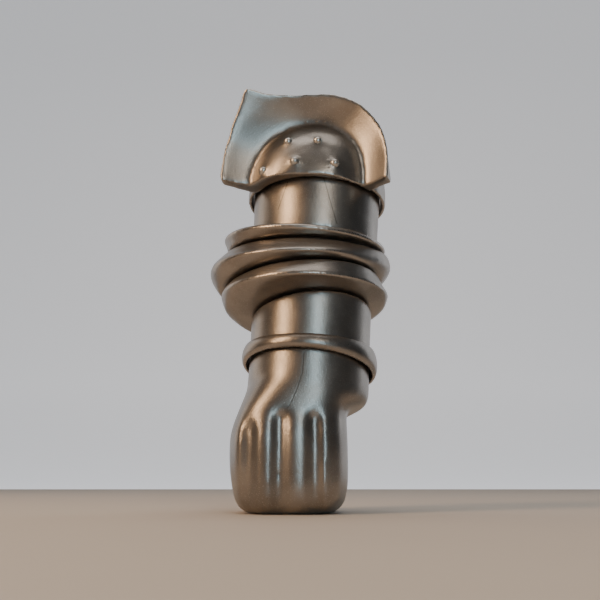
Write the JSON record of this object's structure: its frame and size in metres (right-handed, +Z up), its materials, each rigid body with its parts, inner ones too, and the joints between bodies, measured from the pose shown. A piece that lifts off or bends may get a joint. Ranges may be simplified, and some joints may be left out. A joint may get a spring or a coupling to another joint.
{
  "type": "arm and shoulder guard",
  "caption": "Armoured arm guard for a knight figure: flared riveted shoulder cap, smooth tubes, lapped elbow rims, wrist ring and closed gauntlet that it stands on",
  "frame": {"origin": "on the flat base of the gauntlet, at the mount stand_face", "axes": "+Z up along the standing limb, which leans a little back and to the right; -Y toward the fronts of the fingers and the riveted face of the shoulder cap; +X to the viewer's right"},
  "size_m": [0.032, 0.0308, 0.071],
  "materials": {
    "pewter_look": "silver grey metallic look, satin, with a fine grain; whether it is plastic or metal under the finish is assumed",
    "rivet": "silver grey metallic look, a little brighter on top"
  },
  "bodies": {
    "root": {"pauldron": "pewter_look", "rivet_1": "rivet", "rivet_2": "rivet", "rivet_3": "rivet", "rivet_4": "rivet", "rivet_5": "rivet", "upper_cannon": "pewter_look", "elbow_lame_upper": "pewter_look", "elbow_lame_middle": "pewter_look", "elbow_lame_lower": "pewter_look", "lower_cannon": "pewter_look", "wrist_cuff": "pewter_look", "gauntlet": "pewter_look"}
  },
  "joints": []
}
